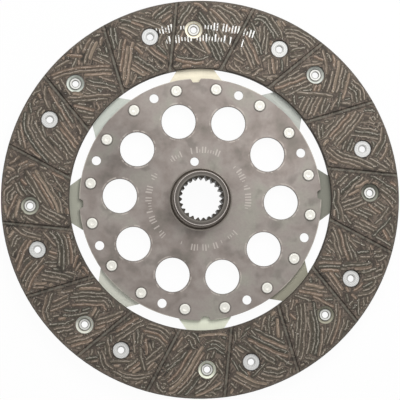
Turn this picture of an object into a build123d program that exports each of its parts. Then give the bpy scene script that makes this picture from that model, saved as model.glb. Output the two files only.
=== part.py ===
"""Rigid clutch disc: a splined hub, a stamped carrier plate, spring-steel cushion segments, two riveted
friction facings, and the rivets that hold them together.

Units are millimetres. +Z runs along the axis of rotation towards the gearbox. The origin lies on that
axis in the plane of the flywheel-side friction face, on which the disc lies flat. The first cushion
segment points along +X, and angles are taken anticlockwise seen from the gearbox.
"""

import os
from math import asin, cos, degrees, pi, radians, sin, sqrt, tan

from build123d import *

# ---------------------------------------------------------------- driving dimensions
# Friction facings
facing_outer_radius = 114.0
facing_inner_radius = 75.0
facing_thickness = 3.5
facing_rivet_edge_distance = 16.5  # rivet circle to the facing's outer edge
facing_rivet_angle = 15.0  # a segment's centre line to its gearbox-side facing rivet
counterbore_radius = 5.2
counterbore_depth = 2.2
groove_count = 16
groove_offset = 24.8  # the disc's axis to a groove's centre line
groove_crossing_angle = 6.8  # where the first groove crosses the rivet circle
groove_floor_width = 1.8
groove_depth = 1.0
groove_wall_angle = 24.0  # from upright
pad_inner_corner_radius = 3.0
pad_outer_corner_radius = 2.2

# Cushion segments
segment_count = 8
segment_thickness = 0.7
wave_height = 0.7  # rise from a segment's trough to its crests
wave_ramp_width = 6.0
wave_bend_radius = 12.0
foot_edge_distance = 3.7  # rivet centre to the foot's side
foot_inner_edge_distance = 6.0  # rivet circle to the foot's inner edge
foot_corner_radius = 2.5
neck_half_width = 9.0
neck_setback = 1.8  # facing's inner edge to the narrowest point of the neck
trough_margin = 1.0  # trough beyond the neck, on each side
joggle_setback = 1.3  # plate's edge to the start of the joggle
joggle_length = 3.6
joggle_bend_radius = 4.0
paddle_inner_setback = 5.5  # facing's inner edge to the paddle's
paddle_outer_setback = 1.4  # facing's outer edge to the paddle's
paddle_gap = 2.0  # between neighbouring paddles
paddle_corner_radius = 4.0

# Carrier plate
plate_to_facing_gap = 5.7  # plate's edge to the facings' inner edge
plate_thickness = 2.5
lightening_hole_count = 10
lightening_hole_radius = 9.8
lightening_hole_edge_distance = 7.55  # segment rivet circle to a lightening hole
lightening_hole_start_angle = -4.5
tooling_hole_radius = 2.6
index_hole_radius = 2.45
index_hole_edge_distance = 0.55  # hub's flange to the index hole
index_hole_angle = 96.6
notch_count = 4
notch_mouth_width = 6.0
notch_floor_width = 3.6
notch_depth = 2.2
notch_corner_radius = 0.8

# Rivets between the plate and the segments
segment_rivet_edge_distance = 5.8  # rivet circle to the plate's edge
segment_rivet_angle = 10.37  # each side of a segment's centre line
segment_rivet_shank_radius = 2.0
segment_rivet_head_radius = 3.05
segment_rivet_head_height = 1.1
segment_rivet_head_rounding = 0.6
segment_rivet_dimple_radius = 1.2
segment_rivet_dimple_depth = 0.25

# Hollow rivets that hold the facings
facing_rivet_shank_radius = 2.35
facing_rivet_bore_radius = 1.85
facing_rivet_head_height = 0.8
facing_rivet_head_rounding = 0.25
facing_rivet_sink_radius = 2.6
facing_rivet_sink_depth = 0.6
facing_rivet_roll_radius = 3.3
facing_rivet_roll_height = 0.8
facing_rivet_roll_rounding = 0.35

# Hub
hub_lift = 1.0  # the hub's flywheel end above the friction face
hub_length = 20.0
hub_wall = 3.1  # spline root to the outside of the nose
hub_nose_chamfer = 0.5
hub_seat_step = 1.6  # nose to the plate's seat
hub_flange_width = 1.6  # beyond the seat
hub_flange_chamfer = 0.6
staked_lip_width = 1.0  # beyond the seat
staked_lip_height = 0.45
staking_groove_depth = 0.5
spline_tooth_count = 23
spline_tip_radius = 11.0
spline_tooth_height = 1.5
spline_flank_angle = 30.0
spline_lead_in_width = 0.5  # spline root to the mouth of the bore
spline_lead_in_angle = 30.0

# Clearances, each on the radius
rivet_clearance = 0.05  # shank to hole
rivet_head_clearance = 0.4  # facing rivet's head to its counterbore
seat_clearance = 0.02  # hub to plate

# ---------------------------------------------------------------- worked-out sizes
# Heights, from the flywheel-side friction face upwards
trough_bottom = facing_thickness
trough_top = trough_bottom + segment_thickness
crest_bottom = trough_bottom + wave_height
crest_top = crest_bottom + segment_thickness
foot_bottom = trough_bottom + wave_height / 2
foot_top = foot_bottom + segment_thickness
middle_height = (trough_bottom + crest_top) / 2
gearbox_facing_top = crest_top + facing_thickness
counterbore_floor = gearbox_facing_top - counterbore_depth
groove_floor = gearbox_facing_top - groove_depth
plate_top = foot_top + plate_thickness
hub_top = hub_lift + hub_length

# Radii, from the facings inwards
facing_rivet_circle_radius = facing_outer_radius - facing_rivet_edge_distance
paddle_outer_radius = facing_outer_radius - paddle_outer_setback
paddle_inner_radius = facing_inner_radius + paddle_inner_setback
neck_radius = facing_inner_radius + neck_setback
plate_outer_radius = facing_inner_radius - plate_to_facing_gap
segment_rivet_circle_radius = plate_outer_radius - segment_rivet_edge_distance
foot_inner_radius = segment_rivet_circle_radius - foot_inner_edge_distance
lightening_hole_circle_radius = (
    segment_rivet_circle_radius - lightening_hole_edge_distance - lightening_hole_radius
)

# Radii, from the spline outwards
spline_root_radius = spline_tip_radius + spline_tooth_height
spline_mouth_radius = spline_root_radius + spline_lead_in_width
hub_nose_radius = spline_root_radius + hub_wall
hub_seat_radius = hub_nose_radius + hub_seat_step
hub_flange_radius = hub_seat_radius + hub_flange_width
staked_lip_radius = hub_seat_radius + staked_lip_width
index_hole_circle_radius = hub_flange_radius + index_hole_edge_distance + index_hole_radius

# Fits
segment_rivet_hole_radius = segment_rivet_shank_radius + rivet_clearance
facing_rivet_hole_radius = facing_rivet_shank_radius + rivet_clearance
facing_rivet_head_radius = counterbore_radius - rivet_head_clearance

# Angles
segment_pitch_angle = 360 / segment_count
segment_angles = [index * segment_pitch_angle for index in range(segment_count)]
groove_direction = groove_crossing_angle - degrees(asin(groove_offset / facing_rivet_circle_radius))

os.makedirs("parts", exist_ok=True)

# ---------------------------------------------------------------- friction facings
groove_start = sqrt(facing_inner_radius**2 - groove_offset**2)
groove_end = sqrt(facing_outer_radius**2 - groove_offset**2)
groove_overrun = 3.0

with BuildPart() as gearbox_facing:
    with BuildSketch(Plane.XY.offset(crest_top)):
        Circle(facing_outer_radius)
        Circle(facing_inner_radius, mode=Mode.SUBTRACT)
    extrude(amount=facing_thickness - groove_depth)
    # The pads between the grooves stand on that ring, with sloping sides
    with BuildSketch(Plane.XY.offset(groove_floor)) as pads:
        Circle(facing_outer_radius)
        Circle(facing_inner_radius, mode=Mode.SUBTRACT)
        with PolarLocations(0, groove_count, start_angle=groove_direction):
            Polygon(
                (groove_start - groove_overrun, groove_offset - groove_floor_width / 2),
                (groove_end + groove_overrun, groove_offset - groove_floor_width / 2),
                (groove_end + groove_overrun, groove_offset + groove_floor_width / 2),
                (groove_start - groove_overrun, groove_offset + groove_floor_width / 2),
                mode=Mode.SUBTRACT,
            )
        pad_corners = pads.vertices().group_by(SortBy.DISTANCE)
        fillet(pad_corners[0], radius=pad_inner_corner_radius)
        fillet(pad_corners[-1], radius=pad_outer_corner_radius)
    extrude(amount=groove_depth, taper=groove_wall_angle)
    # Stepped holes for the facing's own rivets, and plain ones that give access to the other facing's
    with BuildSketch(Plane.XY.offset(crest_top)):
        with PolarLocations(facing_rivet_circle_radius, segment_count, start_angle=facing_rivet_angle):
            Circle(facing_rivet_hole_radius)
        with PolarLocations(facing_rivet_circle_radius, segment_count):
            Circle(counterbore_radius)
    extrude(amount=facing_thickness, mode=Mode.SUBTRACT)
    with BuildSketch(Plane.XY.offset(counterbore_floor)):
        with PolarLocations(facing_rivet_circle_radius, segment_count, start_angle=facing_rivet_angle):
            Circle(counterbore_radius)
    extrude(amount=counterbore_depth, mode=Mode.SUBTRACT)
gearbox_facing.part.label = "gearbox_facing"
export_step(gearbox_facing.part, "parts/gearbox_facing.step")

# The two facings are alike. One turned over about this axis has its rivets at the other's access holes.
turnover_angle = radians(facing_rivet_angle / 2)
turnover_axis = Axis((0, 0, middle_height), (cos(turnover_angle), sin(turnover_angle), 0))

with BuildPart() as flywheel_facing:
    add(gearbox_facing.part.rotate(turnover_axis, 180))
flywheel_facing.part.label = "flywheel_facing"
export_step(flywheel_facing.part, "parts/flywheel_facing.step")

# ---------------------------------------------------------------- cushion segments
foot_half_width = segment_rivet_circle_radius * sin(radians(segment_rivet_angle)) + foot_edge_distance
neck_ramp_start = sqrt(plate_outer_radius**2 - foot_half_width**2)
joggle_start = plate_outer_radius + joggle_setback
trough_half_width = neck_half_width + trough_margin
crest_start = trough_half_width + wave_ramp_width
half_pitch = radians(segment_pitch_angle / 2)
trough_middle = trough_bottom + segment_thickness / 2
crest_middle = crest_bottom + segment_thickness / 2
foot_middle = foot_bottom + segment_thickness / 2

with BuildPart() as foot:
    # The sheet steps down from under the plate to the height of the trough
    with BuildSketch(Plane.XZ):
        with BuildLine():
            FilletPolyline(
                (0, foot_middle),
                (joggle_start, foot_middle),
                (joggle_start + joggle_length, trough_middle),
                (paddle_outer_radius, trough_middle),
                radius=joggle_bend_radius,
            )
        trace(line_width=segment_thickness)
    extrude(amount=foot_half_width + 1, both=True)
    with BuildSketch(Plane.XY) as foot_outline:
        Polygon(
            (0, -foot_half_width),
            (neck_ramp_start, -foot_half_width),
            (neck_radius, -neck_half_width),
            (paddle_inner_radius + 1, -neck_half_width),
            (paddle_inner_radius + 1, neck_half_width),
            (neck_radius, neck_half_width),
            (neck_ramp_start, foot_half_width),
            (0, foot_half_width),
        )
        Circle(foot_inner_radius, mode=Mode.SUBTRACT)
        fillet(foot_outline.vertices().sort_by(Axis.X)[:2], radius=foot_corner_radius)
    extrude(amount=crest_top, mode=Mode.INTERSECT)

with BuildPart() as paddle:
    # The waved sheet, cut to the paddle's outline
    sheet_half_width = paddle_outer_radius * sin(half_pitch)
    with BuildSketch(Plane.YZ):
        with BuildLine():
            FilletPolyline(
                (-sheet_half_width, crest_middle),
                (-crest_start, crest_middle),
                (-trough_half_width, trough_middle),
                (trough_half_width, trough_middle),
                (crest_start, crest_middle),
                (sheet_half_width, crest_middle),
                radius=wave_bend_radius,
            )
        trace(line_width=segment_thickness)
    extrude(amount=paddle_outer_radius)
    with BuildSketch(Plane.XY) as paddle_outline:
        side_start = paddle_gap / 2 / sin(half_pitch)
        Polygon(
            (side_start, 0),
            (side_start + paddle_outer_radius, -paddle_outer_radius * tan(half_pitch)),
            (side_start + paddle_outer_radius, paddle_outer_radius * tan(half_pitch)),
        )
        Circle(paddle_outer_radius, mode=Mode.INTERSECT)
        Circle(paddle_inner_radius, mode=Mode.SUBTRACT)
        fillet(paddle_outline.vertices(), radius=paddle_corner_radius)
    extrude(amount=crest_top, mode=Mode.INTERSECT)

with BuildPart() as cushion_segment:
    add(foot.part)
    add(paddle.part)
    with BuildSketch(Plane.XY):
        for angle in (-segment_rivet_angle, segment_rivet_angle):
            with PolarLocations(segment_rivet_circle_radius, 1, start_angle=angle):
                Circle(segment_rivet_hole_radius)
        for angle in (0, facing_rivet_angle):
            with PolarLocations(facing_rivet_circle_radius, 1, start_angle=angle):
                Circle(facing_rivet_hole_radius)
    extrude(amount=crest_top, mode=Mode.SUBTRACT)

for number, angle in enumerate(segment_angles, start=1):
    placed_segment = cushion_segment.part.rotate(Axis.Z, angle)
    placed_segment.label = f"cushion_segment_{number}"
    export_step(placed_segment, f"parts/{placed_segment.label}.step")

# ---------------------------------------------------------------- carrier plate
with BuildPart() as carrier_plate:
    with BuildSketch(Plane.XY.offset(foot_top)) as plate_outline:
        Circle(plate_outer_radius)
        with PolarLocations(plate_outer_radius, notch_count):
            Polygon(
                (-notch_depth, -notch_floor_width / 2),
                (0, -notch_mouth_width / 2),
                (1, -notch_mouth_width / 2),
                (1, notch_mouth_width / 2),
                (0, notch_mouth_width / 2),
                (-notch_depth, notch_floor_width / 2),
                mode=Mode.SUBTRACT,
            )
        fillet(plate_outline.vertices().group_by(SortBy.DISTANCE)[0], radius=notch_corner_radius)
        Circle(hub_seat_radius + seat_clearance, mode=Mode.SUBTRACT)
        with PolarLocations(
            lightening_hole_circle_radius, lightening_hole_count, start_angle=lightening_hole_start_angle
        ):
            Circle(lightening_hole_radius, mode=Mode.SUBTRACT)
        with PolarLocations(segment_rivet_circle_radius, segment_count, start_angle=segment_pitch_angle / 2):
            Circle(tooling_hole_radius, mode=Mode.SUBTRACT)
        with PolarLocations(index_hole_circle_radius, 1, start_angle=index_hole_angle):
            Circle(index_hole_radius, mode=Mode.SUBTRACT)
        for angle in (-segment_rivet_angle, segment_rivet_angle):
            with PolarLocations(segment_rivet_circle_radius, segment_count, start_angle=angle):
                Circle(segment_rivet_hole_radius, mode=Mode.SUBTRACT)
    extrude(amount=plate_thickness)
carrier_plate.part.label = "carrier_plate"
export_step(carrier_plate.part, "parts/carrier_plate.step")

# ---------------------------------------------------------------- hub
lead_in_depth = (spline_mouth_radius - spline_tip_radius) * tan(radians(spline_lead_in_angle))
staked_lip_crest = hub_seat_radius + staked_lip_width / 4
staking_groove_radius = (hub_nose_radius + hub_seat_radius) / 2

with BuildPart() as hub:
    with BuildSketch(Plane.XZ):
        Polygon(
            (spline_tip_radius, hub_lift + lead_in_depth),
            (spline_mouth_radius, hub_lift),
            (hub_flange_radius - hub_flange_chamfer, hub_lift),
            (hub_flange_radius, hub_lift + hub_flange_chamfer),
            (hub_flange_radius, foot_top),
            (hub_seat_radius, foot_top),
            (hub_seat_radius, plate_top),
            (staked_lip_radius, plate_top),
            (staked_lip_crest, plate_top + staked_lip_height),
            (staking_groove_radius, plate_top - staking_groove_depth),
            (hub_nose_radius, plate_top),
            (hub_nose_radius, hub_top - hub_nose_chamfer),
            (hub_nose_radius - hub_nose_chamfer, hub_top),
            (spline_mouth_radius, hub_top),
            (spline_tip_radius, hub_top - lead_in_depth),
        )
    revolve(axis=Axis.Z)
    # The spaces between the spline teeth
    pitch_radius = (spline_tip_radius + spline_root_radius) / 2
    half_space = pi * pitch_radius / spline_tooth_count / 2
    flank_slope = tan(radians(spline_flank_angle))
    space_start_radius = spline_tip_radius - spline_tooth_height / 2
    half_space_at_start = half_space + (pitch_radius - space_start_radius) * flank_slope
    half_space_at_root = half_space - (spline_root_radius - pitch_radius) * flank_slope
    with BuildSketch(Plane.XY.offset(hub_lift)):
        with PolarLocations(0, spline_tooth_count):
            Polygon(
                (space_start_radius, -half_space_at_start),
                (spline_root_radius, -half_space_at_root),
                (spline_root_radius, half_space_at_root),
                (space_start_radius, half_space_at_start),
            )
    extrude(amount=hub_length, mode=Mode.SUBTRACT)
hub.part.label = "hub"
export_step(hub.part, "parts/hub.step")

# ---------------------------------------------------------------- rivets through plate and segments
head_top = plate_top + segment_rivet_head_height
tail_bottom = foot_bottom - segment_rivet_head_height

with BuildPart() as segment_rivet:
    with BuildSketch(Plane.XZ) as rivet_section:
        Polygon(
            (0, tail_bottom + segment_rivet_dimple_depth),
            (segment_rivet_dimple_radius, tail_bottom),
            (segment_rivet_head_radius, tail_bottom),
            (segment_rivet_head_radius, foot_bottom),
            (segment_rivet_shank_radius, foot_bottom),
            (segment_rivet_shank_radius, plate_top),
            (segment_rivet_head_radius, plate_top),
            (segment_rivet_head_radius, head_top),
            (segment_rivet_dimple_radius, head_top),
            (0, head_top - segment_rivet_dimple_depth),
        )
        rim_corners = rivet_section.vertices().group_by(Axis.X)[-1].sort_by(Axis.Y)
        fillet([rim_corners[0], rim_corners[-1]], radius=segment_rivet_head_rounding)
    revolve(axis=Axis.Z)

segment_rivet_places = [
    segment_angle + side * segment_rivet_angle for segment_angle in segment_angles for side in (-1, 1)
]
for number, angle in enumerate(segment_rivet_places, start=1):
    reach = Location((segment_rivet_circle_radius, 0, 0))
    placed_rivet = segment_rivet.part.moved(reach).rotate(Axis.Z, angle)
    placed_rivet.label = f"segment_rivet_{number:02d}"
    export_step(placed_rivet, f"parts/{placed_rivet.label}.step")

# ---------------------------------------------------------------- hollow rivets of the facings
facing_head_top = counterbore_floor + facing_rivet_head_height
roll_bottom = crest_bottom - facing_rivet_roll_height

with BuildPart() as facing_rivet:
    with BuildSketch(Plane.XZ) as rivet_section:
        Polygon(
            (facing_rivet_bore_radius, roll_bottom),
            (facing_rivet_roll_radius, roll_bottom),
            (facing_rivet_roll_radius, crest_bottom),
            (facing_rivet_shank_radius, crest_bottom),
            (facing_rivet_shank_radius, counterbore_floor),
            (facing_rivet_head_radius, counterbore_floor),
            (facing_rivet_head_radius, facing_head_top),
            (facing_rivet_sink_radius, facing_head_top),
            (facing_rivet_bore_radius, facing_head_top - facing_rivet_sink_depth),
        )
        fillet(rivet_section.vertices().group_by(Axis.Y)[0], radius=facing_rivet_roll_rounding)
        head_rim = rivet_section.vertices().group_by(Axis.X)[-1].sort_by(Axis.Y)[-1]
        fillet(head_rim, radius=facing_rivet_head_rounding)
    revolve(axis=Axis.Z)

turned_facing_rivet = facing_rivet.part.mirror(Plane.XY.offset(middle_height))
facing_rivet_reach = Location((facing_rivet_circle_radius, 0, 0))
for number, segment_angle in enumerate(segment_angles, start=1):
    for side, rivet, angle in (
        ("gearbox", facing_rivet.part, segment_angle + facing_rivet_angle),
        ("flywheel", turned_facing_rivet, segment_angle),
    ):
        placed_rivet = rivet.moved(facing_rivet_reach).rotate(Axis.Z, angle)
        placed_rivet.label = f"{side}_facing_rivet_{number}"
        export_step(placed_rivet, f"parts/{placed_rivet.label}.step")
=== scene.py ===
"""Looks of the rigid clutch disc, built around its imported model.

The solids keep their shapes and get their finishes here. The wound yarn that shows in the two friction
facings is laid on them as low relief. Lengths are in metres and angles in radians unless a name says
otherwise. +Z points to the gearbox, and the first cushion segment points along +X.
"""

from math import asin, cos, pi, radians, sin, tan

import bpy
import numpy as np
from mathutils import Matrix, Vector


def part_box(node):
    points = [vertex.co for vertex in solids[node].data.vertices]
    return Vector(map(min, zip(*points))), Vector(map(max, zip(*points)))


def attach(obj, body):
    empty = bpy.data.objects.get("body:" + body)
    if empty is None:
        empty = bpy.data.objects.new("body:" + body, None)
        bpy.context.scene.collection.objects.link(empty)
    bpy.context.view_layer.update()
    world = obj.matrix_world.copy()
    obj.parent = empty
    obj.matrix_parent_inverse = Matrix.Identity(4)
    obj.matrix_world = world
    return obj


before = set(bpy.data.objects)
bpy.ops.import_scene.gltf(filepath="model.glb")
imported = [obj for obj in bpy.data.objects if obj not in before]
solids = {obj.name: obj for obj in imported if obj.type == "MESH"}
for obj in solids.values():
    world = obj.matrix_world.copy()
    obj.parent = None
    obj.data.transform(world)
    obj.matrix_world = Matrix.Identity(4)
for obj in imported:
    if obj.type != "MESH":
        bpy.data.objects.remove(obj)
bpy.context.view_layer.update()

# ---------------------------------------------------------------- sizes
mm = 0.001

# From the frame
facing_low, facing_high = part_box("gearbox_facing")
flywheel_low, flywheel_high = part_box("flywheel_facing")
facing_outer_radius = (facing_high.x - facing_low.x) / 2
gearbox_face_height = facing_high.z
flywheel_face_height = flywheel_low.z
middle_height = (facing_low.z + flywheel_high.z) / 2
hub_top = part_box("hub")[1].z
plate_low, plate_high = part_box("carrier_plate")
plate_radius = (plate_high.x - plate_low.x) / 2

# As the solids have them
facing_inner_radius = 75.0 * mm
rivet_circle_radius = 97.5 * mm
rivet_hole_radius = 5.2 * mm
rivet_angle = radians(15.0)
groove_count = 16
groove_offset = 24.8 * mm
groove_crossing_angle = radians(6.8)
groove_half_width = 1.35 * mm
groove_direction = groove_crossing_angle - asin(groove_offset / rivet_circle_radius)
pad_corner_length = 2.6 * mm
segment_count = 8
segment_rivet_circle_radius = 63.5 * mm
segment_rivet_angle = radians(10.37)
segment_rivet_head_radius = 3.05 * mm
lightening_hole_count = 10
lightening_hole_circle_radius = 46.15 * mm
lightening_hole_radius = 9.8 * mm
lightening_hole_start = radians(-4.5)
hub_nose_radius = 15.6 * mm
hub_chamfer = 0.5 * mm
spline_mouth_radius = 13.0 * mm
roll_radius = 3.3 * mm
rivet_bore_radius = 1.85 * mm


# ---------------------------------------------------------------- shader maths
def linear(red, green, blue):
    """A colour given in display values from 0 to 255, as the shaders take it."""
    shares = [value / 255 for value in (red, green, blue)]
    return [s / 12.92 if s <= 0.04045 else ((s + 0.055) / 1.055) ** 2.4 for s in shares] + [1.0]


class Socket:
    """A node's output. Arithmetic and comparisons on it add Math nodes."""

    def __init__(self, nodes, output):
        self.nodes = nodes
        self.output = output

    def of(self, name):
        """Another output of the same node."""
        return Socket(self.nodes, self.output.node.outputs[name])

    def __add__(self, other):
        return self.nodes.math("ADD", self, other)

    def __sub__(self, other):
        return self.nodes.math("SUBTRACT", self, other)

    def __mul__(self, other):
        return self.nodes.math("MULTIPLY", self, other)

    def __truediv__(self, other):
        return self.nodes.math("DIVIDE", self, other)

    def __radd__(self, other):
        return self.nodes.math("ADD", other, self)

    def __rsub__(self, other):
        return self.nodes.math("SUBTRACT", other, self)

    def __rmul__(self, other):
        return self.nodes.math("MULTIPLY", other, self)

    def __rtruediv__(self, other):
        return self.nodes.math("DIVIDE", other, self)

    def __mod__(self, other):
        return self.nodes.math("FLOORED_MODULO", self, other)

    def __lt__(self, other):
        return self.nodes.math("LESS_THAN", self, other)

    def __gt__(self, other):
        return self.nodes.math("GREATER_THAN", self, other)

    def __abs__(self):
        return self.nodes.math("ABSOLUTE", self)


class Nodes:
    """The nodes of one material or of the sky."""

    def __init__(self, tree):
        self.tree = tree

    def node(self, kind, settings=None, inputs=None, output=0):
        """The output of a new node: its settings come first, then the values or links of its sockets."""
        made = self.tree.nodes.new("ShaderNode" + kind)
        for name, value in (settings or {}).items():
            if name == "stops":
                self.set_stops(made.color_ramp.elements, value)
            else:
                setattr(made, name, value)
        for name, value in (inputs or {}).items():
            self.join(value, made.inputs[name])
        return Socket(self, made.outputs[output])

    def join(self, value, target):
        """Links an output to an input, or sets the input to a plain value."""
        if isinstance(value, Socket):
            self.tree.links.new(value.output, target)
        else:
            target.default_value = value

    @staticmethod
    def set_stops(elements, stops):
        """Gives a ramp its stops, each a position and a colour."""
        while len(elements) < len(stops):
            elements.new(1.0)
        for element, (position, colour) in zip(elements, stops):
            element.position = position
            element.color = colour

    def math(self, operation, *values):
        """Arithmetic on numbers."""
        return self.node("Math", {"operation": operation}, dict(enumerate(values)))

    def vector_math(self, operation, *values, output=0):
        """Arithmetic on places and colours."""
        return self.node("VectorMath", {"operation": operation}, dict(enumerate(values)), output)

    def mix(self, share, first, second):
        """From the first colour to the second as share goes from 0 to 1."""
        return self.node("Mix", {"data_type": "RGBA"}, {0: share, 6: first, 7: second}, 2)

    def tint(self, colour, factor):
        """A colour made lighter or darker by a value about 1."""
        plain = colour if isinstance(colour, Socket) else colour[:3]
        return self.node("VectorMath", {"operation": "SCALE"}, {0: plain, "Scale": factor})

    def ramp(self, value, *stops):
        """A colour that goes through these stops as the value goes from 0 to 1."""
        return self.node("ValToRGB", {"stops": stops}, {0: value})

    def rise(self, value, low, high):
        """0 below low, 1 above high, and smooth between."""
        limits = {"Value": value, "From Min": low, "From Max": high}
        return self.node("MapRange", {"interpolation_type": "SMOOTHSTEP"}, limits)

    def band(self, value, low, high, soft):
        """1 between low and high, and 0 outside, with soft edges."""
        return self.rise(value, low - soft, low + soft) * (1 - self.rise(value, high - soft, high + soft))

    def noise(self, place, size, detail=2.0, roughness=0.5, distortion=0.0):
        """Soft noise about 0.5, whose lumps are about this size."""
        inputs = {
            "Vector": place,
            "Scale": 1 / size,
            "Detail": detail,
            "Roughness": roughness,
            "Distortion": distortion,
        }
        return self.node("TexNoise", {}, inputs)

    def random(self, value, seed):
        """A number from 0 to 1 that changes with each whole value."""
        place = self.join_axes(value, seed, 0.0)
        return self.node("TexWhiteNoise", {"noise_dimensions": "2D"}, {"Vector": place})

    def join_axes(self, x, y, z):
        """A place from its three measures."""
        return self.node("CombineXYZ", {}, {0: x, 1: y, 2: z})

    def seen_straight(self):
        """1 where the eye looks, also by way of metal or glass, and 0 for light that falls on a surface."""
        path = self.node("LightPath", output="Is Camera Ray")
        seen = self.math("MAXIMUM", path, path.of("Is Glossy Ray"))
        return self.math("MAXIMUM", seen, path.of("Is Transmission Ray"))


class Finish(Nodes):
    """A material whose pattern is worked out by nodes around one Principled shader."""

    def __init__(self, name, constants):
        self.material = bpy.data.materials.new(name)
        self.material.use_nodes = True
        super().__init__(self.material.node_tree)
        self.shader = self.tree.nodes["Principled BSDF"]
        for socket, value in constants.items():
            self.paint(socket, value)

    def paint(self, socket, value):
        """Feeds one of the shader's own sockets."""
        self.join(value, self.shader.inputs[socket])

    def bump(self, height, distance, strength):
        """Feeds the shader's normal with relief this deep."""
        inputs = {"Strength": strength, "Distance": distance, "Height": height}
        self.paint("Normal", self.node("Bump", {}, inputs))


class Round:
    """Polar coordinates about the disc's axis in one finish."""

    def __init__(self, finish):
        self.finish = finish
        self.place = finish.node("TexCoord", output="Object")
        apart = finish.node("SeparateXYZ", {}, {0: self.place})
        self.x, self.y, self.height = apart, apart.of("Y"), apart.of("Z")
        flat = finish.join_axes(self.x, self.y, 0.0)
        self.radius = finish.vector_math("LENGTH", flat, output="Value")
        self.angle = finish.math("ARCTAN2", self.y, self.x)

    def distance_to_ring(self, circle_radius, count, start):
        """How far a point lies, in plan, from the nearest of some centres spaced evenly on a circle."""
        finish = self.finish
        step = 2 * pi / count
        within = (self.angle - (start - step / 2)) % step - step / 2
        across = self.radius * finish.math("SINE", within)
        along = self.radius * finish.math("COSINE", within) - circle_radius
        return finish.vector_math("LENGTH", finish.join_axes(along, across, 0.0), output="Value")

    def distance_to_groove(self):
        """How far a point of a facing lies, in plan, from the nearest groove's centre line."""
        finish = self.finish
        step = 2 * pi / groove_count
        lean = finish.math("ARCSINE", groove_offset / self.radius)
        # The flywheel side is the same face turned over
        flywheel_side = self.height < middle_height
        angle = self.angle + flywheel_side * (rivet_angle - 2 * self.angle)
        within = (angle - lean - (groove_direction - step / 2)) % step - step / 2
        return abs(self.radius * finish.math("SINE", within + lean) - groove_offset)

    def strokes(self, row_radius, height, pitch, start, end, seed):
        """1 on a row of upright strokes round the axis, uneven in length and width, and 0 beside them."""
        finish = self.finish
        turned = (self.angle - start) % (2 * pi)
        steps = turned * (row_radius / pitch)
        stroke = finish.math("FLOOR", steps)
        aside = abs(steps - stroke - 0.5)
        chance = finish.random(stroke, seed)
        other_chance = finish.random(stroke, seed + 7.3)
        reach = (0.5 + 0.5 * finish.rise(other_chance, 0.35, 0.45)) * (height / 2)
        lift = (other_chance - 0.5) * (height * 0.25)
        within_width = aside < 0.13 + 0.14 * other_chance
        within_height = abs(self.radius - row_radius - lift) < reach
        present = (chance > 0.2) * (turned < end - start)
        return within_width * within_height * present


# ---------------------------------------------------------------- finishes
# Rows of strokes: radius in mm, start and end in degrees, and a seed
ink_rows = ((99.1, 68.5, 102.5, 1.0), (92.6, 70.0, 101.5, 5.0))
ink_height = 4.4 * mm
ink_pitch = 1.75 * mm
stamp_rows = ((28.0, 64, 126, 2.0), (29.6, 147, 223, 11.0), (27.5, 239, 315, 23.0), (27.0, 345, 403, 37.0))
stamp_height = 3.6 * mm
stamp_pitch = 1.6 * mm

# Broad patches of painted light and shade on the plate: angle in degrees, radius in mm, and how much paler
light_and_shade_patches = ((150, 54, -0.24), (30, 50, 0.15))
light_patch_core = 4 * mm
light_patch_edge = 34 * mm

# Hollow rivets: their rolled tails lie nearer to the disc's middle plane than this, and their heads farther
tail_height = 0.87 * mm
tail_crest = (2.5 * mm, 2.95 * mm)
head_turning_pitch = 0.95 * mm

# Other rings, from radius to radius
dimple_edge = (1.3 * mm, 2.2 * mm)
hub_dark_turn = (13.8 * mm, 15.0 * mm)


def upright(finish):
    """1 on walls that stand along the disc's axis, 0 on its flat faces."""
    normal = finish.node("SeparateXYZ", {}, {0: finish.node("TexCoord", output="Normal")})
    return 1 - finish.rise(abs(normal.of("Z")), 0.25, 0.6)


def mark_rows(ring, rows, height, pitch):
    """Rows of strokes, each given by its radius in mm, its start and end in degrees, and a seed."""
    marks = 0.0
    for row_radius, start, end, seed in rows:
        row = ring.strokes(row_radius * mm, height, pitch, radians(start), radians(end), seed)
        marks = ring.finish.math("MAXIMUM", marks, row)
    return marks


def ink(finish, ring):
    """Two worn rows of white ink strokes on the gearbox side of the lining."""
    rows = mark_rows(ring, ink_rows, ink_height, ink_pitch)
    wear = finish.rise(finish.noise(ring.place, 0.9 * mm, detail=3.0, roughness=0.6), 0.33, 0.46)
    return rows * wear * (ring.height > gearbox_face_height - 0.2 * mm)


def resin(finish, ring):
    """The resin's own mottled colour, and its grain for relief."""
    patches = finish.noise(ring.place, 6 * mm, detail=3.0, roughness=0.6)
    grain = finish.noise(ring.place, 0.8 * mm, detail=3.0, roughness=0.65)
    colour = finish.ramp(
        patches,
        (0.30, linear(56, 53, 48)),
        (0.45, linear(72, 65, 59)),
        (0.58, linear(87, 78, 71)),
        (0.72, linear(76, 75, 67)),
    )
    return finish.tint(colour, 0.55 + 0.9 * grain), grain, patches


def glints(finish, ring):
    """Sparse bright points where a wire or glass fibre catches the light."""
    return finish.rise(finish.noise(ring.place, 0.75 * mm, detail=1.0, roughness=0.4), 0.70, 0.76)


def stray_strands(finish, ring, colour):
    """Strands that show dimly below the surface, at two slants to the ring."""
    arc = ring.angle * rivet_circle_radius
    for slant, seed in ((radians(48), 0.0), (radians(-44), 0.31)):
        along = arc * cos(slant) + ring.radius * sin(slant)
        across = ring.radius * cos(slant) - arc * sin(slant)
        drawn_out = finish.join_axes(along * 0.16 + seed, across, 0.0)
        strand = finish.noise(drawn_out, 1.1 * mm, detail=1.0, roughness=0.4)
        moved = finish.vector_math("ADD", ring.place, (seed, seed, 0.0))
        here = finish.rise(finish.noise(moved, 5 * mm), 0.42, 0.54)
        colour = finish.mix(finish.rise(strand, 0.48, 0.60) * here * 0.75, colour, linear(121, 109, 98))
    return colour


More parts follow.
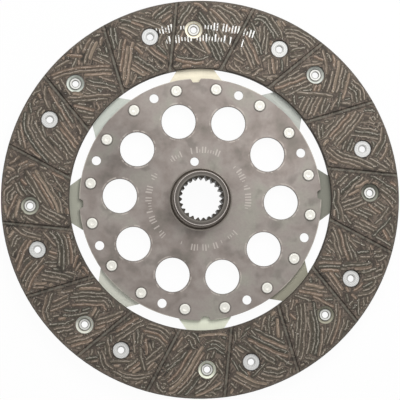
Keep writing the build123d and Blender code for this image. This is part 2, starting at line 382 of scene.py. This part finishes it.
def grooved(finish, ring, colour, grain):
    """Pale dust along the middle of the grooves, painted shade on the walls beside it, and painted shade on
    the facing's upright edges away from the grooves.
    """
    groove_side = ring.distance_to_groove()
    dust = 0.35 + 0.5 * finish.rise(finish.noise(ring.place, 3 * mm), 0.4, 0.6)
    middle = 1 - finish.rise(groove_side, 0.15 * mm, 0.75 * mm)
    colour = finish.mix(middle * dust, colour, finish.tint(linear(117, 115, 105), 0.6 + 0.8 * grain))
    # Painted shade on the groove walls
    wall_shade = finish.band(groove_side, groove_half_width - 0.6 * mm, groove_half_width + 0.15 * mm, 0.15 * mm)
    colour = finish.mix(wall_shade * 0.28, colour, linear(44, 44, 38))
    # Painted shade on the facing's upright walls away from the grooves
    beside = finish.rise(groove_side, groove_half_width, groove_half_width + 0.4 * mm)
    edge_shade_colour = finish.tint(linear(61, 56, 50), 0.7 + 0.6 * grain)
    return finish.mix(upright(finish) * beside * 0.8, colour, edge_shade_colour)


def lining_finish():
    """Resin-bonded lining between and under the yarn: dark, mottled, with stray fibres."""
    finish = Finish("friction_lining_resin", {"Roughness": 0.78, "Specular IOR Level": 0.2})
    ring = Round(finish)
    colour, grain, patches = resin(finish, ring)
    colour = stray_strands(finish, ring, colour)
    inner_edge = facing_inner_radius + 1.5 * mm
    outer_edge = facing_outer_radius - 1.5 * mm
    rim = 1 - finish.band(ring.radius, inner_edge, outer_edge, 0.4 * mm)
    colour = finish.mix(rim * 0.6, colour, finish.tint(linear(91, 84, 76), 0.5 + 1.0 * grain))
    outer_rim = finish.rise(ring.radius, outer_edge - 1.5 * mm, outer_edge)
    colour = finish.tint(colour, 1 + 0.17 * outer_rim)
    colour = finish.mix(glints(finish, ring) * 0.6, colour, linear(211, 205, 194))
    colour = grooved(finish, ring, colour, grain)
    colour = finish.mix(ink(finish, ring) * 0.9, colour, linear(249, 249, 243))
    finish.paint("Base Color", colour)
    finish.bump(grain + 0.6 * patches, 0.12 * mm, strength=0.6)
    return finish.material


def yarn_finish():
    """Yarn soaked with resin: brown, with a thin worn ridge that wanders and is partly painted highlight,
    and painted shade at the strands' edges and low sides.
    """
    finish = Finish("lining_yarn", {"Roughness": 0.62, "Specular IOR Level": 0.25})
    ring = Round(finish)
    stored = finish.node("Attribute", {"attribute_name": "lay"}, output="Vector")
    run = finish.node("SeparateXYZ", {}, {0: stored})
    side, tone = run.of("Y"), run.of("Z")
    lift = abs(ring.height - middle_height) - (gearbox_face_height - middle_height)
    level = lift / yarn_height
    colour = finish.ramp(
        tone,
        (0.00, linear(67, 64, 54)),
        (0.25, linear(82, 75, 64)),
        (0.50, linear(91, 83, 72)),
        (0.68, linear(97, 86, 74)),
        (0.84, linear(108, 91, 77)),
        (1.00, linear(123, 110, 95)),
    )
    patches = finish.noise(ring.place, 11 * mm)
    blotches = finish.noise(ring.place, 1.6 * mm, detail=3.0, roughness=0.65)
    fibres = finish.noise(finish.join_axes(run * 0.3, side * (0.8 * mm), tone), 0.3 * mm, roughness=0.6)
    colour = finish.tint(colour, 0.35 + 0.45 * patches + 0.5 * blotches + 0.35 * fibres)
    wander = finish.noise(finish.join_axes(run, tone * 3.7, 5.0), 3.2 * mm) - 0.5
    # Painted shade at the edges of each strand
    between = finish.rise(abs(side + 0.3 * wander), 0.70, 0.98)
    colour = finish.mix(between * 0.85, colour, linear(46, 43, 38))
    # Painted shade where a strand lies low
    colour = finish.mix((1 - finish.rise(level, 0.0, 0.4)) * 0.85, colour, linear(49, 45, 40))
    # The worn ridge along the crown, partly painted highlight, broken into beads
    across = abs(side + 1.7 * wander + 0.28 * finish.math("SINE", tone * 61.0))
    beads = finish.noise(finish.join_axes(run, tone, 0.0), 1.5 * mm, roughness=0.6)
    worn_ridge_and_highlight = (1 - finish.rise(across, 0.10, 0.42)) * (0.3 + 0.7 * finish.rise(beads, 0.36, 0.58))
    worn_and_highlight_colour = finish.mix(tone, linear(168, 162, 151), linear(177, 157, 141))
    colour = finish.mix(worn_ridge_and_highlight * 0.76 * finish.rise(level, 0.3, 0.7), colour, worn_and_highlight_colour)
    colour = finish.mix(glints(finish, ring) * 0.7, colour, linear(221, 214, 203))
    colour = finish.mix(ink(finish, ring) * 0.92, colour, linear(249, 249, 248))
    finish.paint("Base Color", colour)
    finish.bump(fibres + 0.6 * worn_ridge_and_highlight, 0.06 * mm, strength=0.8)
    return finish.material


def painted_light_and_shade(finish, ring, colour):
    """Broad soft patches of painted light and shade, one paler and one darker."""
    plan = finish.join_axes(ring.x, ring.y, 0.0)
    for patch_angle, patch_radius, change in light_and_shade_patches:
        turn = radians(patch_angle)
        centre = (patch_radius * mm * cos(turn), patch_radius * mm * sin(turn), 0.0)
        from_centre = finish.vector_math("DISTANCE", plan, centre, output="Value")
        patch = 1 - finish.rise(from_centre, light_patch_core, light_patch_edge)
        colour = finish.tint(colour, 1 + change * patch)
    return colour


def hole_edged(finish, ring, colour):
    """Painted shade on the wall and edge of each large hole, and a pale broken ring just outside it."""
    edge = lightening_hole_radius
    centre_gap = ring.distance_to_ring(
        lightening_hole_circle_radius, lightening_hole_count, lightening_hole_start
    )
    # Painted shade on each large hole's wall and edge
    colour = finish.mix(1 - finish.rise(centre_gap, edge, edge + 0.35 * mm), colour, linear(59, 55, 50))
    # A pale ring broken by noise just outside each large hole
    pale_ring = finish.band(centre_gap, edge + 0.4 * mm, edge + 1.2 * mm, 0.2 * mm)
    ring_breaks = finish.rise(finish.noise(ring.place, 4 * mm, detail=3.0, roughness=0.6), 0.46, 0.58)
    return finish.mix(pale_ring * ring_breaks * 0.45, colour, linear(170, 163, 156))


def segment_rivet_gap(ring, side):
    """How far a point lies from the nearest of the plate's rivets on this side of the segments."""
    return ring.distance_to_ring(segment_rivet_circle_radius, segment_count, side * segment_rivet_angle)


def plate_finish():
    """Hardened sheet steel: warm grey and cloudy, with broad patches of painted light and shade, painted
    shade at the large holes' edges, round the rivet heads and on the upright walls, a painted highlight
    along the rim, pale broken rings beside the large holes, and rows of stamped strokes.
    """
    finish = Finish("hardened_plate_steel", {"Metallic": 0.75})
    ring = Round(finish)
    clouds = finish.noise(ring.place, 19 * mm, detail=3.0, roughness=0.6, distortion=0.3)
    moved = finish.vector_math("ADD", ring.place, (0.7, 0.2, 0.0))
    stains = finish.noise(moved, 10 * mm, distortion=0.2)
    grain = finish.noise(ring.place, 1.1 * mm, detail=3.0, roughness=0.6)
    colour = finish.ramp(
        clouds,
        (0.30, linear(96, 91, 85)),
        (0.44, linear(115, 107, 102)),
        (0.56, linear(126, 119, 114)),
        (0.70, linear(129, 126, 118)),
    )
    colour = finish.mix(finish.rise(stains, 0.55, 0.72) * 0.5, colour, linear(91, 86, 81))
    colour = finish.tint(colour, 0.86 + 0.28 * grain)
    # Broad patches of painted light and shade
    colour = painted_light_and_shade(finish, ring, colour)
    colour = hole_edged(finish, ring, colour)
    # A painted highlight along the rim of the plate, in places
    rim = finish.rise(ring.radius, plate_radius - 0.5 * mm, plate_radius - 0.2 * mm)
    rim_highlight = rim * finish.rise(stains, 0.42, 0.5)
    colour = finish.mix(rim_highlight * 0.6, colour, linear(164, 159, 149))
    marks = mark_rows(ring, stamp_rows, stamp_height, stamp_pitch)
    stamped = marks * (ring.height > plate_high.z - 0.1 * mm)
    colour = finish.mix(stamped * 0.65, colour, linear(164, 157, 151))
    head = segment_rivet_head_radius
    for side in (-1, 1):
        shadow = 1 - finish.rise(segment_rivet_gap(ring, side), head + 0.1 * mm, head + 0.9 * mm)
        colour = finish.mix(shadow * 0.6, colour, linear(48, 46, 42))
    # Painted shade on the plate's upright walls
    colour = finish.mix(upright(finish) * 0.85, colour, linear(56, 51, 48))
    finish.paint("Base Color", colour)
    finish.paint("Roughness", 0.42 + 0.16 * clouds)
    finish.bump(grain + 0.5 * marks, 0.02 * mm, strength=0.5)
    return finish.material


def spring_finish(number, red, green, blue):
    """Spring steel in one segment's tint, of temper colour and painted reflection, with the rolling grain
    along the segment, painted light inside the facing's rivet holes, and a painted highlight ring and a
    painted shadow round each rivet.
    """
    finish = Finish(f"spring_steel_{number}", {"Metallic": 0.1})
    ring = Round(finish)
    turn = (number - 1) * 2 * pi / segment_count
    along = ring.x * cos(turn) + ring.y * sin(turn)
    across = ring.y * cos(turn) - ring.x * sin(turn)
    grain = finish.noise(finish.join_axes(along * 0.05, across, 0.0), 0.5 * mm, detail=3.0, roughness=0.6)
    clouds = finish.noise(ring.place, 6 * mm)
    # The segment's tint holds its temper colour and a painted reflection
    colour = finish.tint(linear(red, green, blue), 0.86 + 0.16 * grain + 0.12 * clouds)
    for start in (0.0, rivet_angle):
        gap = ring.distance_to_ring(rivet_circle_radius, segment_count, start)
        # Painted light on the segment inside the facing's rivet hole
        seat_light = 1 - finish.rise(gap, rivet_hole_radius, rivet_hole_radius + 0.3 * mm)
        colour = finish.tint(colour, 1 + 0.2 * seat_light)
        # A painted highlight ring round the rivet
        highlight_ring = finish.band(gap, roll_radius + 0.85 * mm, roll_radius + 1.6 * mm, 0.12 * mm)
        colour = finish.tint(colour, 1 + 0.5 * highlight_ring)
        shadow = 1 - finish.rise(gap, roll_radius + 0.15 * mm, roll_radius + 0.45 * mm)
        colour = finish.mix(shadow * 0.8, colour, linear(69, 68, 59))
    finish.paint("Base Color", colour)
    finish.paint("Roughness", 0.55 + 0.2 * grain)
    return finish.material


def segment_rivet_finish():
    """Bright plated rivets, pressed to a slightly dished head, with painted shade at the dish's edge and on
    their upright sides.
    """
    finish = Finish("plated_rivet", {"Metallic": 0.2})
    ring = Round(finish)
    dirt = finish.noise(ring.place, 1.2 * mm, detail=3.0, roughness=0.6)
    colour = finish.tint(linear(229, 227, 219), 0.88 + 0.2 * dirt)
    for side in (-1, 1):
        # Painted shade at the edge of the dished head
        dimple_shade = finish.band(segment_rivet_gap(ring, side), *dimple_edge, 0.2 * mm)
        colour = finish.mix(dimple_shade * 0.35, colour, linear(177, 175, 165))
    # Painted shade on the rivets' upright sides
    colour = finish.mix(upright(finish) * 0.6, colour, linear(122, 116, 104))
    finish.paint("Base Color", colour)
    finish.paint("Roughness", 0.45 + 0.2 * dirt)
    finish.bump(dirt, 0.03 * mm, strength=0.4)
    return finish.material


def facing_rivet_finish():
    """Bright hollow rivets: a painted highlight on the crest of the rolled end, painted shade in the throat
    of the bore, darkest inside the rolled end, painted shade on the upright sides, and turning rings on the
    heads.
    """
    finish = Finish("hollow_rivet", {"Metallic": 0.15})
    ring = Round(finish)
    dirt = finish.noise(ring.place, 1.0 * mm, detail=3.0, roughness=0.6)
    from_middle = abs(ring.height - middle_height)
    rolled_end = 1 - finish.rise(from_middle, tail_height - 0.03 * mm, tail_height + 0.03 * mm)
    colour = finish.mix(rolled_end, linear(207, 207, 205), linear(214, 213, 208))
    colour = finish.tint(colour, 0.88 + 0.2 * dirt)
    for start in (0.0, rivet_angle):
        gap = ring.distance_to_ring(rivet_circle_radius, segment_count, start)
        # A painted highlight on the crest of the rolled end
        crest = finish.band(gap, *tail_crest, 0.12 * mm)
        colour = finish.mix(crest * rolled_end * 0.7, colour, linear(244, 244, 240))
        # Painted shade in the throat of the bore
        throat_shade = 1 - finish.rise(gap, rivet_bore_radius + 0.1 * mm, rivet_bore_radius + 0.45 * mm)
        colour = finish.mix(throat_shade * (0.3 + 0.55 * rolled_end), colour, linear(86, 82, 71))
        turning = finish.math("SINE", gap * (2 * pi / head_turning_pitch))
        colour = finish.tint(colour, 1 + (1 - rolled_end) * (0.1 * turning))
    # Painted shade on the upright sides
    colour = finish.mix(upright(finish) * 0.6, colour, linear(90, 86, 77))
    finish.paint("Base Color", colour)
    finish.paint("Roughness", 0.45 + 0.2 * dirt)
    return finish.material


def hub_finish():
    """Dark turned and broached steel, with a painted highlight on the chamfer round the nose and painted
    light on the barrel below the nose against its shade.
    """
    finish = Finish("turned_hub_steel", {"Metallic": 0.8})
    ring = Round(finish)
    turning = finish.noise(finish.join_axes(ring.radius, 0.0, 0.0), 0.35 * mm, detail=3.0, roughness=0.7)
    clouds = finish.noise(ring.place, 4 * mm, roughness=0.6)
    colour = finish.tint(linear(92, 88, 83), 0.72 + 0.34 * turning + 0.2 * clouds)
    spline = 1 - finish.rise(ring.radius, spline_mouth_radius - 0.3 * mm, spline_mouth_radius)
    colour = finish.mix(spline * 0.85, colour, linear(51, 47, 42))
    # Painted light on the barrel below the nose, to lift its shade
    low_down = 1 - finish.rise(ring.height, hub_top - 1.2 * mm, hub_top - 0.75 * mm)
    outside = finish.rise(ring.radius, hub_nose_radius - 0.05 * mm, hub_nose_radius)
    barrel_light_colour = finish.tint(linear(131, 124, 117), 0.8 + 0.4 * clouds)
    colour = finish.mix(outside * low_down * 0.9, colour, barrel_light_colour)
    dark_turn = finish.band(ring.radius, *hub_dark_turn, 0.2 * mm)
    colour = finish.mix(dark_turn * 0.6, colour, linear(59, 54, 50))
    # A painted highlight on the chamfer round the nose
    edge = finish.band(ring.radius, hub_nose_radius - 0.44 * mm, hub_nose_radius - 0.12 * mm, 0.05 * mm)
    edge = edge * finish.rise(ring.height, hub_top - hub_chamfer - 0.3 * mm, hub_top - hub_chamfer)
    colour = finish.mix(edge, colour, linear(232, 223, 217))
    finish.paint("Base Color", colour)
    finish.paint("Roughness", 0.34 + 0.2 * turning)
    finish.bump(turning, 0.02 * mm, strength=0.5)
    return finish.material


def dress(name, material):
    """Gives a solid its finish."""
    for slot in solids[name].material_slots:
        slot.material = material


# Each segment's temper colour together with a painted reflection that differs from segment to segment, from
# the first one anticlockwise
segment_tints_and_reflections = (
    (123, 123, 112),
    (181, 184, 177),
    (235, 227, 204),
    (196, 201, 192),
    (162, 162, 148),
    (217, 218, 205),
    (237, 240, 220),
    (152, 149, 132),
)

lining = lining_finish()
dress("gearbox_facing", lining)
dress("flywheel_facing", lining)
dress("carrier_plate", plate_finish())
dress("hub", hub_finish())
for number, tint in enumerate(segment_tints_and_reflections, start=1):
    dress(f"cushion_segment_{number}", spring_finish(number, *tint))
plated = segment_rivet_finish()
for number in range(1, 2 * segment_count + 1):
    dress(f"segment_rivet_{number:02d}", plated)
hollow = facing_rivet_finish()
for number in range(1, segment_count + 1):
    dress(f"gearbox_facing_rivet_{number}", hollow)
    dress(f"flywheel_facing_rivet_{number}", hollow)

# ---------------------------------------------------------------- yarn in the facings
yarn_half_width = 1.12 * mm
yarn_height = 0.17 * mm
yarn_sink = 0.02 * mm  # how far its edges reach into the lining
yarn_pitch = 2.25 * mm  # between neighbours of one bundle
yarn_step = 0.75 * mm  # between the points of a strand
tucked_clearance = 0.95 * mm  # centre line to centre line where an end goes under another strand
tucked_steps = 3
bare_rim = 1.3 * mm
bare_margin = 0.5 * mm  # beside grooves and rivet holes
pad_corner_slope = 0.6

# A strand's section, from its left edge to its right, in half widths and heights
section_side = np.array([-1.0, -0.74, -0.38, 0.0, 0.38, 0.74, 1.0])
section_rise = np.array([0.0, 0.5, 0.9, 1.0, 0.9, 0.5, 0.0])
section_points = len(section_side)
end_width = (0.7, 0.95)  # at a strand's last points
end_rise = (0.05, 0.65)

# The wave that the yarn is wound in: ranges to draw from, in mm and degrees
wave_heights = (13, 32)  # either side of its middle line
wave_shifts = (-3, 3)  # of its middle line, from the middle of the facing
wave_slants = (57, 12)  # mean and spread
steepest_slant = 78
sway_heights = (0.1, 0.42)  # of a bundle's own small wave
sway_lengths = (1.2, 2.8)
phases = (0, 6)

# How the strands differ
wander_height = 0.08 * mm  # aside from the bundle's line
wander_paces = (0.3, 0.8)  # radians a step
bundle_tones = (-0.2, 0.2)
tone_shape = (1.5, 1.7)  # of a beta spread
strand_widths = (0.86, 1.1)  # of the half width
strand_heights = (0.8, 1.12)  # of the height
strand_starts = (0, 40)  # mm, where its pattern begins

# A map of one friction face, to lay the yarn by
map_cell = 0.2 * mm
map_reach = facing_outer_radius + 2 * mm
map_axis = np.arange(-map_reach, map_reach, map_cell)
map_border = 12  # cells, more than any clearance spans

# How many bundles, of how many strands, how long in mm, the shortest stretch that shows, and the clearance
yarn_rounds = (
    (150, (3, 6), (24, 42), 11, 1.8),
    (600, (3, 7), (14, 30), 6.5, 1.75),
    (3000, (3, 7), (8, 18), 3.8, 1.65),
    (7000, (1, 4), (4, 10), 2.6, 1.5),
    (4000, (1, 2), (3, 6), 2.3, 1.3),
)


def open_face():
    """The map of one friction face: True where its pads leave room for yarn."""
    x, y = np.meshgrid(map_axis, map_axis, indexing="ij")
    radius = np.hypot(x, y)
    free = (radius > facing_inner_radius + bare_rim) & (radius < facing_outer_radius - bare_rim)
    first = (facing_inner_radius**2 - groove_offset**2) ** 0.5
    last = (facing_outer_radius**2 - groove_offset**2) ** 0.5
    for index in range(groove_count):
        turn = groove_direction + index * 2 * pi / groove_count
        along = x * cos(turn) + y * sin(turn)
        aside = np.abs(y * cos(turn) - x * sin(turn) - groove_offset)
        to_end = np.minimum(np.abs(along - first), np.abs(last - along))
        flare = np.clip(pad_corner_length - to_end, 0, None) * pad_corner_slope
        free &= ~((along > 0) & (aside < groove_half_width + bare_margin + flare))
    for index in range(segment_count):
        for start in (0.0, rivet_angle):
            turn = start + index * 2 * pi / segment_count
            centre = rivet_circle_radius * cos(turn), rivet_circle_radius * sin(turn)
            free &= np.hypot(x - centre[0], y - centre[1]) > rivet_hole_radius + bare_margin
    return free


def cells_under(path):
    """The cells of the map that a line passes over."""
    cells = ((path + map_reach) / map_cell).astype(int)
    return np.clip(cells, map_border, len(map_axis) - 1 - map_border)


def cells_within(clearance):
    """The cells of the map that lie nearer than this to a cell, as steps from it."""
    spread = int(clearance / map_cell) + 1
    near = np.mgrid[-spread : spread + 1, -spread : spread + 1].reshape(2, -1).T
    return near[np.hypot(*near.T) * map_cell < clearance]


def cover(face, cells, near):
    """Takes the cells near a strand off the room that a map shows."""
    covered = (cells[:, None] + near[None]).reshape(-1, 2)
    face[covered[:, 0], covered[:, 1]] = False


def left_of(line):
    """The direction to the left at each point of a line."""
    ahead = np.gradient(line, axis=0)
    ahead /= np.linalg.norm(ahead, axis=1)[:, None]
    return np.stack([-ahead[:, 1], ahead[:, 0]], 1)


def bundle_line(length, random):
    """The middle line of one bundle, part of the wave that yarn is wound in."""
    run = np.arange(-length / 2, length / 2, yarn_step)
    swing = random.uniform(*wave_heights) * mm
    middle = (facing_inner_radius + facing_outer_radius) / 2 + random.uniform(*wave_shifts) * mm
    steepness = tan(radians(min(random.normal(*wave_slants), steepest_slant)))
    angle = random.uniform(0, 2 * pi) + random.choice((-1, 1)) * run / (steepness * middle)
    sway_height = random.uniform(*sway_heights) * mm
    sway_length = random.uniform(*sway_lengths) * mm
    sway = sway_height * np.sin(run / sway_length + random.uniform(*phases))
    radius = middle + swing * np.cos(random.uniform(0, 2 * pi) + run / swing) + sway
    return np.stack([radius * np.cos(angle), radius * np.sin(angle)], 1)


def bundle_strands(members, lengths, random):
    """The strands of one bundle, side by side with uneven ends, each as its line and the bundle's tone."""
    line = bundle_line(random.uniform(*lengths) * mm, random)
    aside = left_of(line)
    count = random.integers(*members)
    bundle_tone = random.uniform(*bundle_tones)
    for member in range(count):
        offset = (member - (count - 1) / 2) * yarn_pitch
        phase_along = np.arange(len(line)) * random.uniform(*wander_paces) + random.uniform(*phases)
        path = line + aside * (offset + wander_height * np.sin(phase_along))[:, None]
        cut = random.integers(0, max(1, len(path) // 6), 2)
        yield path[cut[0] : len(path) - cut[1]], bundle_tone


def free_runs(open_along):
    """The stretches of a strand, as (first, end), on which it lies free."""
    edges = np.flatnonzero(np.diff(np.concatenate(([0], open_along.astype(int), [0]))))
    return zip(edges[::2], edges[1::2])


def tucked(first, end, open_under):
    """A stretch made longer at both ends, where it can go under its neighbours."""
    for _ in range(tucked_steps):
        if first > 0 and open_under[first - 1]:
            first -= 1
        if end < len(open_under) and open_under[end]:
            end += 1
    return first, end


def lay_yarn(random):
    """Strands of one face. Each bundle passes under those laid before it, so it shows only beside them."""
    free = open_face()
    untouched = free.copy()
    under = cells_within(tucked_clearance)
    laid = []
    for bundles, members, lengths, shortest, clearance in yarn_rounds:
        beside = cells_within(clearance * mm)
        for _ in range(bundles):
            for path, bundle_tone in bundle_strands(members, lengths, random):
                cells = cells_under(path)
                open_under = untouched[cells[:, 0], cells[:, 1]]
                for first, end in free_runs(free[cells[:, 0], cells[:, 1]]):
                    if (end - first) * yarn_step < shortest * mm:
                        continue
                    first, end = tucked(first, end, open_under)
                    tone = min(max(random.beta(*tone_shape) + bundle_tone, 0.0), 1.0)
                    laid.append((path[first:end], tone))
                    cover(free, cells[first:end], beside)
                    cover(untouched, cells[first:end], under)
    return laid


def strand_points(path, random):
    """The points of one strand, section by section, narrower and lower at its ends."""
    widths, crest = np.ones(len(path)), np.ones(len(path))
    for index, (width, height) in enumerate(zip(end_width, end_rise)):
        for place in (index, -1 - index):
            widths[place] = width
            crest[place] = height
    half = widths * yarn_half_width * random.uniform(*strand_widths)
    plan = path[:, None] + left_of(path)[:, None] * (section_side[None, :, None] * half[:, None, None])
    lift = crest[:, None] * section_rise[None] * (yarn_height * random.uniform(*strand_heights))
    height = gearbox_face_height + lift - yarn_sink * (np.abs(section_side) > 0.9)[None]
    return np.concatenate([plan, height[:, :, None]], 2).reshape(-1, 3)


def strand_lay(count, tone, random):
    """What the finish reads at each point of a strand: how far along it, how far aside, and its tone."""
    run = np.arange(count) * yarn_step + random.uniform(*strand_starts) * mm
    lay = np.empty((count, section_points, 3))
    lay[:, :, 0] = run[:, None]
    lay[:, :, 1] = section_side[None]
    lay[:, :, 2] = tone
    return lay.reshape(-1, 3)


def strand_faces(count, base):
    """The faces between the sections of a strand whose first point has this number."""
    rows, columns = np.meshgrid(np.arange(count - 1), np.arange(section_points - 1), indexing="ij")
    corner = (base + rows * section_points + columns).ravel()
    next_row = corner + section_points
    return np.stack([corner, next_row, next_row + 1, corner + 1], 1)


def yarn_mesh(name, strands, random):
    """One mesh of low rounded strands on the plane of the gearbox-side face."""
    points, faces, lays = [], [], []
    base = 0
    for path, tone in strands:
        points.append(strand_points(path, random))
        lays.append(strand_lay(len(path), tone, random))
        faces.append(strand_faces(len(path), base))
        base += len(path) * section_points
    mesh = bpy.data.meshes.new(name)
    mesh.from_pydata(np.concatenate(points).tolist(), [], np.concatenate(faces).tolist())
    mesh.polygons.foreach_set("use_smooth", [True] * len(mesh.polygons))
    lay = mesh.attributes.new("lay", "FLOAT_VECTOR", "POINT")
    lay.data.foreach_set("vector", np.concatenate(lays).astype(np.float32).ravel())
    return mesh


def add_plan_map(mesh):
    """A flat map of the face, seen along the axis."""
    corners = np.empty(len(mesh.loops), np.int32)
    mesh.loops.foreach_get("vertex_index", corners)
    places = np.empty(len(mesh.vertices) * 3, np.float32)
    mesh.vertices.foreach_get("co", places)
    plan = places.reshape(-1, 3)[corners, :2] / (2 * facing_outer_radius) + 0.5
    mesh.uv_layers.new(name="OFBake").uv.foreach_set("vector", plan.ravel())


def add_yarn(name, seed, turned):
    """The yarn of one friction face. The flywheel side is the same face turned over."""
    random = np.random.default_rng(seed)
    mesh = yarn_mesh(name, lay_yarn(random), random)
    if turned:
        axis = Vector((cos(rivet_angle / 2), sin(rivet_angle / 2), 0))
        middle = Matrix.Translation((0, 0, middle_height))
        mesh.transform(middle @ Matrix.Rotation(pi, 4, axis) @ middle.inverted())
    add_plan_map(mesh)
    mesh.materials.append(yarn_material)
    piece = bpy.data.objects.new(name, mesh)
    bpy.context.scene.collection.objects.link(piece)
    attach(piece, "root")
    print(name, "has", 2 * len(mesh.polygons), "triangles")


yarn_material = yarn_finish()
add_yarn("gearbox_facing_yarn", seed=41, turned=False)
add_yarn("flywheel_facing_yarn", seed=97, turned=True)

# ---------------------------------------------------------------- floor and light
floor_drop = 0.25 * mm  # below the flywheel-side face, so that the yarn stays clear of it
floor_half_size = 2.0
floor_white = 0.96  # share of the floor that shows plain white
floor_grey = (0.86, 0.86, 0.86, 1.0)
white = (1.0, 1.0, 1.0, 1.0)
sky_strength = 0.42  # of the light that falls on surfaces


def floor_finish():
    """Pale matt floor that looks white behind the object and in reflections, and keeps a soft shadow."""
    finish = Finish("pale_floor", {"Base Color": floor_grey, "Roughness": 0.9})
    matt = Socket(finish, finish.shader.outputs[0])
    glow = finish.node("Emission", {}, {"Color": white, "Strength": 1.0})
    mixed = finish.node("MixShader", {}, {0: finish.seen_straight() * floor_white, 1: matt, 2: glow})
    finish.join(mixed, finish.tree.nodes["Material Output"].inputs["Surface"])
    return finish.material


def add_floor():
    """A flat square floor under the disc."""
    reach = floor_half_size
    height = flywheel_face_height - floor_drop
    corners = [(x * reach, y * reach, height) for x, y in ((-1, -1), (1, -1), (1, 1), (-1, 1))]
    mesh = bpy.data.meshes.new("studio_floor")
    mesh.from_pydata(corners, [], [(0, 1, 2, 3)])
    mesh.materials.append(floor_finish())
    made = bpy.data.objects.new("studio_floor", mesh)
    bpy.context.scene.collection.objects.link(made)
    return made


def add_sky():
    """An even white sky, dimmer as a light than where it is looked at."""
    world = bpy.data.worlds.new("studio")
    world.use_nodes = True
    bpy.context.scene.world = world
    sky = Nodes(world.node_tree)
    background = world.node_tree.nodes["Background"]
    sky.join(white, background.inputs["Color"])
    sky.join(sky_strength + (1 - sky_strength) * sky.seen_straight(), background.inputs["Strength"])


def add_panel(name, place, size, power):
    """A soft square lamp that points at the middle of the disc."""
    lamp = bpy.data.lights.new(name, "AREA")
    lamp.shape = "SQUARE"
    lamp.size = size
    lamp.energy = power
    panel = bpy.data.objects.new(name, lamp)
    panel.location = place
    panel.rotation_euler = Vector(place).to_track_quat("Z", "Y").to_euler()
    bpy.context.scene.collection.objects.link(panel)


floor = add_floor()
add_sky()
add_panel("key_panel", place=(0.13, 0.25, 0.40), size=0.30, power=1.6)
add_panel("fill_panel", place=(-0.20, 0.10, 0.95), size=0.7, power=1.4)

# ---------------------------------------------------------------- camera
view_turn = radians(-2.28)  # where the camera's right points, from +X towards +Y
view_aim = Vector((-0.37 * mm, -0.51 * mm, gearbox_face_height))
view_stand = Vector((-66 * mm, -60 * mm, gearbox_face_height + 1500 * mm))
view_width = 228.7 * mm  # what the camera's width spans at the friction face

back = (view_stand - view_aim).normalized()
right = Vector((-sin(view_turn), cos(view_turn), 0)).cross(back).normalized()
axes = Matrix((right, back.cross(right), back)).transposed()

lens = bpy.data.cameras.new("camera")
lens.sensor_width = 36.0
lens.lens = lens.sensor_width * (view_stand - view_aim).length / view_width
camera = bpy.data.objects.new("camera", lens)
camera.matrix_world = Matrix.Translation(view_stand) @ axes.to_4x4()
bpy.context.scene.collection.objects.link(camera)
bpy.context.scene.camera = camera

bpy.context.scene.view_settings.view_transform = "Standard"
